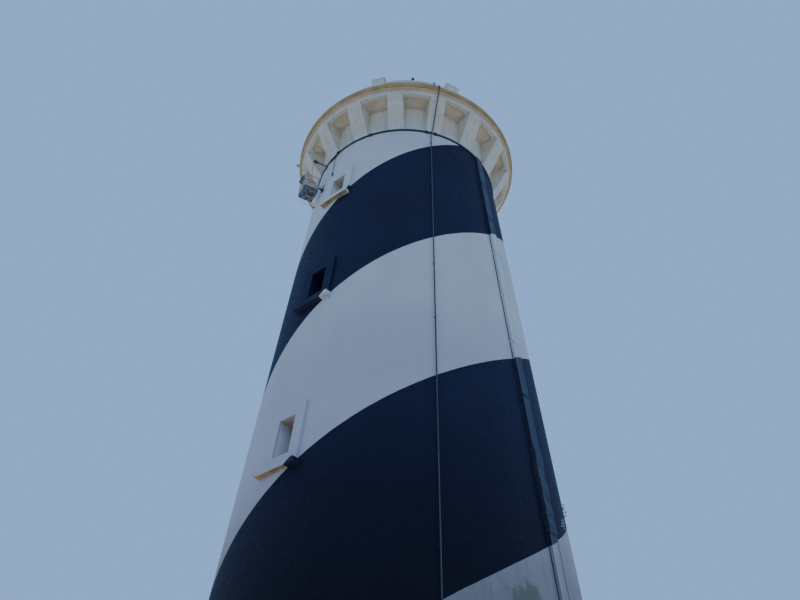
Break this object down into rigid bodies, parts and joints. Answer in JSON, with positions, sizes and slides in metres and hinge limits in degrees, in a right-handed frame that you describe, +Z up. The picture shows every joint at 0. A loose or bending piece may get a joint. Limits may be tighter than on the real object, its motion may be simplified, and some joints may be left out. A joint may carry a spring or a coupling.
{
  "type": "masonry lighthouse tower",
  "caption": "Tall tapered masonry lighthouse with painted spiral bands, a corbelled gallery crown, a parapet terrace and a glazed lantern.",
  "frame": {"origin": "on the tower's vertical axis at ground level, in the middle of the round foot", "axes": "+Z up along the tower's axis; -Y is the front, where the door and the main window column are; +X is the right side, where the duct runs"},
  "size_m": [13.228, 13.1317, 38],
  "materials": {
    "rendered_masonry": "matt lime-washed render, weathered, painted in two broad dark spiral bands",
    "floor_screed": "worn cement screed",
    "joinery": "painted wood, flat and weathered",
    "glass": "clear glass, slightly dusty",
    "lantern_steel": "thick white paint with rust at the joints",
    "roof_metal": "dark painted sheet, satin",
    "galvanised_steel": "dull galvanised steel with rust",
    "painted_casing": "painted with the wall, rust at the seams",
    "cable_sheath": "black cable sheath, faded"
  },
  "bodies": {
    "root": {"cable_slack": "cable_sheath", "cable_sling": "cable_sheath", "conductor": "galvanised_steel", "corbels": "rendered_masonry", "cornice_front": "rendered_masonry", "cornice_left": "rendered_masonry", "cornice_rear": "rendered_masonry", "cornice_right": "rendered_masonry", "cradle_brackets": "galvanised_steel", "cradle_floor": "galvanised_steel", "cradle_frame": "galvanised_steel", "davit": "galvanised_steel", "davit_sheave": "galvanised_steel", "door_frame": "joinery", "door_leaf": "joinery", "duct": "painted_casing", "ground_floor": "floor_screed", "hoist_rope": "galvanised_steel", "lamps": "galvanised_steel", "lantern_floor": "rendered_masonry", "lantern_glass": "glass", "lantern_head": "lantern_steel", "lantern_plinth": "lantern_steel", "lantern_posts": "lantern_steel", "lantern_roof": "roof_metal", "lightning_rod": "galvanised_steel", "neck_band": "galvanised_steel", "parapet_panels": "rendered_masonry", "parapet_pedestals": "rendered_masonry", "roof_ventilator": "roof_metal", "room_door": "joinery", "room_wall_front": "rendered_masonry", "room_wall_left": "rendered_masonry", "room_wall_rear": "rendered_masonry", "room_wall_right": "rendered_masonry", "sling_hook": "galvanised_steel", "terrace_floor": "floor_screed", "wall_front_1": "rendered_masonry", "wall_front_2": "rendered_masonry", "wall_front_3": "rendered_masonry", "wall_front_4": "rendered_masonry", "wall_front_5": "rendered_masonry", "wall_front_left": "rendered_masonry", "wall_front_right": "rendered_masonry", "wall_left": "rendered_masonry", "wall_piers": "rendered_masonry", "wall_rear_1": "rendered_masonry", "wall_rear_2": "rendered_masonry", "wall_rear_3": "rendered_masonry", "wall_rear_left": "rendered_masonry", "wall_rear_right": "rendered_masonry", "wall_right": "rendered_masonry", "window_frames": "joinery", "window_glass": "glass", "window_sills": "rendered_masonry"}
  },
  "joints": []
}
